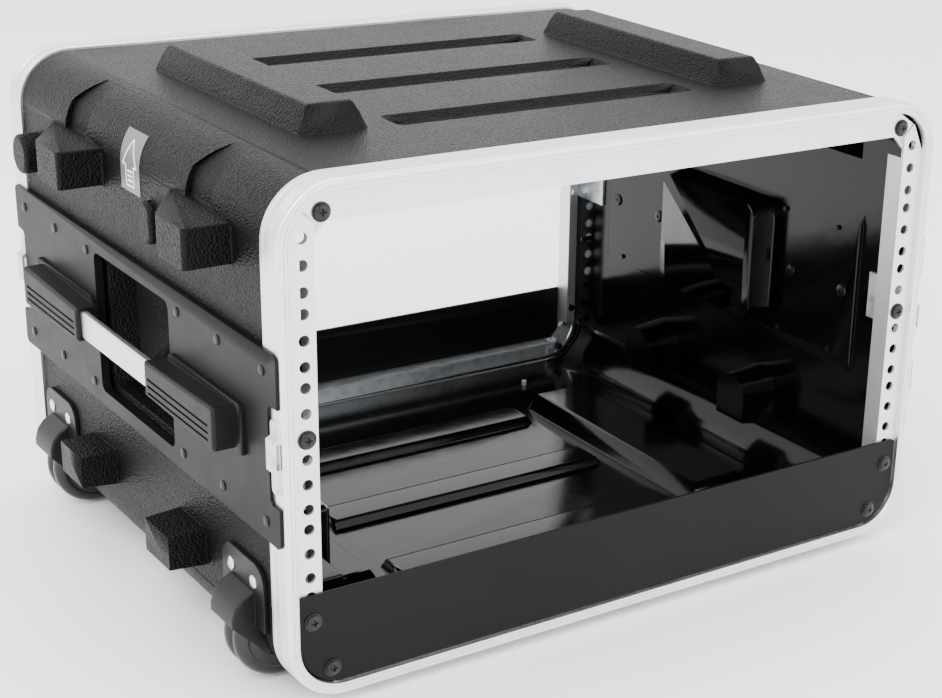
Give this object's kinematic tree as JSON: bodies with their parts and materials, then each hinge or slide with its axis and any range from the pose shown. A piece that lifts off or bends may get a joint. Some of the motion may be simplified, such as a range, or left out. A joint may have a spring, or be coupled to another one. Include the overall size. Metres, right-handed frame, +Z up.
{
  "type": "equipment rack case",
  "caption": "Moulded transport case for 19-inch rack equipment, open at both ends, with rack rails, side handles and wheels along one lower edge.",
  "frame": {"origin": "on the floor, at the centre of the footprint", "axes": "+X towards the case's right as seen from the front, -Y out of the front opening, +Z up"},
  "size_m": [0.556, 0.426, 0.346],
  "materials": {
    "moulding": "leather-grained black moulding",
    "anodised_aluminium": "satin anodised",
    "rail_metal": "satin",
    "panel_black": "satin black",
    "zinc": "zinc plated",
    "black_oxide": "black oxide",
    "plate_grey": "satin powder coat",
    "grip_black": "matte",
    "bar_aluminium": "brushed",
    "bracket_black": "satin powder coat",
    "bright_rivet": "plain",
    "axle_steel": "plain",
    "foot_rubber": "matte",
    "label_grey": "printed film",
    "tread": "glossy",
    "hub_nylon": "satin",
    "bush_bronze": "plain"
  },
  "bodies": {
    "case": {"shell": "moulding", "front_valance": "anodised_aluminium", "rear_valance": "anodised_aluminium", "front_left_rail": "rail_metal", "front_right_rail": "rail_metal", "rear_left_rail": "rail_metal", "rear_right_rail": "rail_metal", "front_top_strip": "rail_metal", "front_bottom_strip": "rail_metal", "rear_top_strip": "rail_metal", "rear_bottom_strip": "zinc", "front_blank_panel": "panel_black", "rear_blank_panel": "panel_black", "front_corner_gussets": "zinc", "rear_corner_gussets": "zinc", "rail_brackets": "zinc", "front_screws": "black_oxide", "rear_screws": "black_oxide", "front_washers": "black_oxide", "rear_washers": "black_oxide", "front_nuts": "zinc", "rear_nuts": "zinc", "left_side_plate": "plate_grey", "right_side_plate": "plate_grey", "left_plate_rivets": "black_oxide", "right_plate_rivets": "black_oxide", "left_front_grip": "grip_black", "left_rear_grip": "grip_black", "right_front_grip": "grip_black", "right_rear_grip": "grip_black", "left_handle_bar": "bar_aluminium", "right_handle_bar": "bar_aluminium", "left_handle_bolts": "black_oxide", "right_handle_bolts": "black_oxide", "left_latch_keepers": "zinc", "right_latch_keepers": "zinc", "left_keeper_rivets": "zinc", "right_keeper_rivets": "zinc", "front_wheel_bracket": "bracket_black", "rear_wheel_bracket": "bracket_black", "wheel_bracket_rivets": "bright_rivet", "front_wheel_axle": "axle_steel", "rear_wheel_axle": "axle_steel", "front_axle_washers": "zinc", "rear_axle_washers": "zinc", "rubber_feet": "foot_rubber", "foot_screws": "zinc", "up_label": "label_grey"},
    "front_wheel": {"front_wheel_tyre": "tread", "front_wheel_hub": "hub_nylon", "front_wheel_bushes": "bush_bronze"},
    "rear_wheel": {"rear_wheel_tyre": "tread", "rear_wheel_hub": "hub_nylon", "rear_wheel_bushes": "bush_bronze"}
  },
  "joints": [
    {"name": "front_wheel_spin", "type": "hinge", "parent": "case", "child": "front_wheel", "pos_m": [-0.2315, -0.153, 0.032], "axis": [0, 1, 0], "continuous": true},
    {"name": "rear_wheel_spin", "type": "hinge", "parent": "case", "child": "rear_wheel", "pos_m": [-0.2315, 0.153, 0.032], "axis": [0, 1, 0], "continuous": true}
  ]
}
